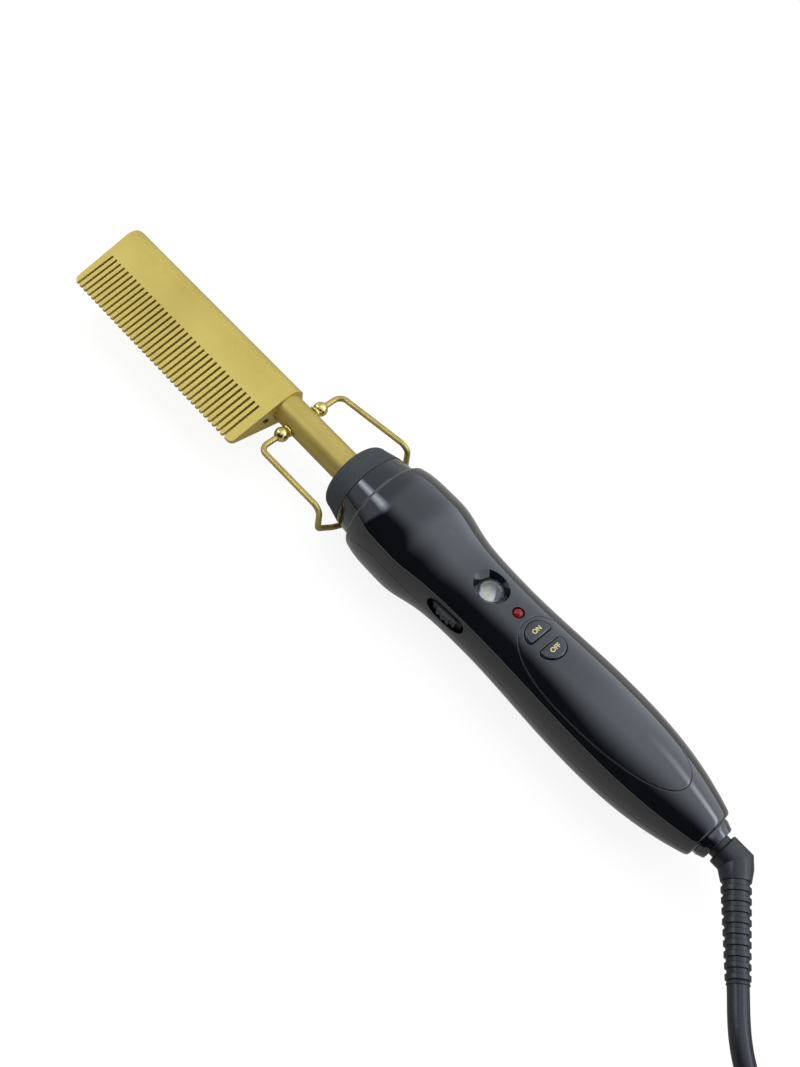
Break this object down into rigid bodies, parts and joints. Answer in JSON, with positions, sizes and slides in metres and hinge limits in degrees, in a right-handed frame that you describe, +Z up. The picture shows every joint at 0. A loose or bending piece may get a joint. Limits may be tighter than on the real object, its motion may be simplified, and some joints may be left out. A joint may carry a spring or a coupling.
{
  "type": "hot comb",
  "caption": "Electric hot comb: slotted metal comb head on a tube, moulded handle with thumb wheel and push buttons, swinging wire stand, swivel mains lead and plug.",
  "frame": {"origin": "on the table, under the middle of the object's box without the mains lead", "axes": "+X along the handle from the comb to the tail, -Y where the teeth point, +Z up through the window and buttons"},
  "size_m": [0.437, 0.082, 0.0406],
  "materials": {
    "gold_comb": "satin gold ceramic coating",
    "gold_tube": "satin gold coating on a steel tube",
    "gold_wire": "satin gold coating on steel wire",
    "brass": "polished",
    "steel": "plain zinc-plated",
    "ceramic": "white ceramic",
    "lead_sleeve": "glass-fibre sleeving",
    "collar": "fine matte heat-resistant plastic",
    "shell": "gloss black",
    "panel": "gloss black inlay",
    "button": "gloss black with pale letters",
    "wheel": "satin black with pale numbers",
    "lens": "clear plastic",
    "lamp": "translucent red",
    "board": "green solder mask",
    "component": "black moulding",
    "capacitor": "ochre moulding",
    "swivel": "satin black moulding",
    "cord": "black PVC"
  },
  "bodies": {
    "handle": {"comb_head": "gold_comb", "comb_screw": "brass", "heater_core": "ceramic", "heater_sleeve": "ceramic", "thermal_fuse": "ceramic", "heater_leads": "lead_sleeve", "neck_tube": "gold_tube", "stand_stud": "steel", "stand_washers": "brass", "stand_nuts": "brass", "nose_collar": "collar", "upper_shell": "shell", "lower_shell": "shell", "shell_screws": "steel", "top_panel": "panel", "window_lens": "lens", "potentiometer": "component", "circuit_board": "board", "board_screws": "steel", "push_switches": "component", "status_lamp": "lamp", "power_switch_chip": "component", "capacitor": "capacitor", "control_chip": "component", "contact_brushes": "brass", "mains_leads": "lead_sleeve", "swivel_nut": "swivel"},
    "stand": {"stand_wire": "gold_wire"},
    "wheel": {"thumb_wheel": "wheel", "wheel_spindle": "steel"},
    "on_key": {"on_button": "button", "on_plunger": "component"},
    "off_key": {"off_button": "button", "off_plunger": "component"},
    "swivel": {"swivel_elbow": "swivel", "contact_rings": "brass", "swivel_clip": "steel", "strain_relief": "swivel", "cord_run": "cord", "cord_coil": "cord", "cord_tail": "cord", "plug_body": "cord", "plug_blades": "brass"}
  },
  "joints": [
    {"name": "stand_swing", "type": "hinge", "parent": "handle", "child": "stand", "pos_m": [-0.05941, 0.00373, 0.01786], "axis": [0, 1, 0], "range_deg": [0, 110]},
    {"name": "wheel_turn", "type": "hinge", "parent": "handle", "child": "wheel", "pos_m": [0.02239, 0.00153, 0.02186], "axis": [0, 0, 1], "range_deg": [-140, 140]},
    {"name": "on_press", "type": "slide", "parent": "handle", "child": "on_key", "axis": [0, 0, -1], "range_m": [0, 0.0006], "stiffness_N_per_m": 900},
    {"name": "off_press", "type": "slide", "parent": "handle", "child": "off_key", "axis": [0, 0, -1], "range_m": [0, 0.0006], "stiffness_N_per_m": 900},
    {"name": "swivel_turn", "type": "hinge", "parent": "handle", "child": "swivel", "pos_m": [0.12069, 0.00373, 0.01786], "axis": [1, 0, 0], "continuous": true}
  ]
}
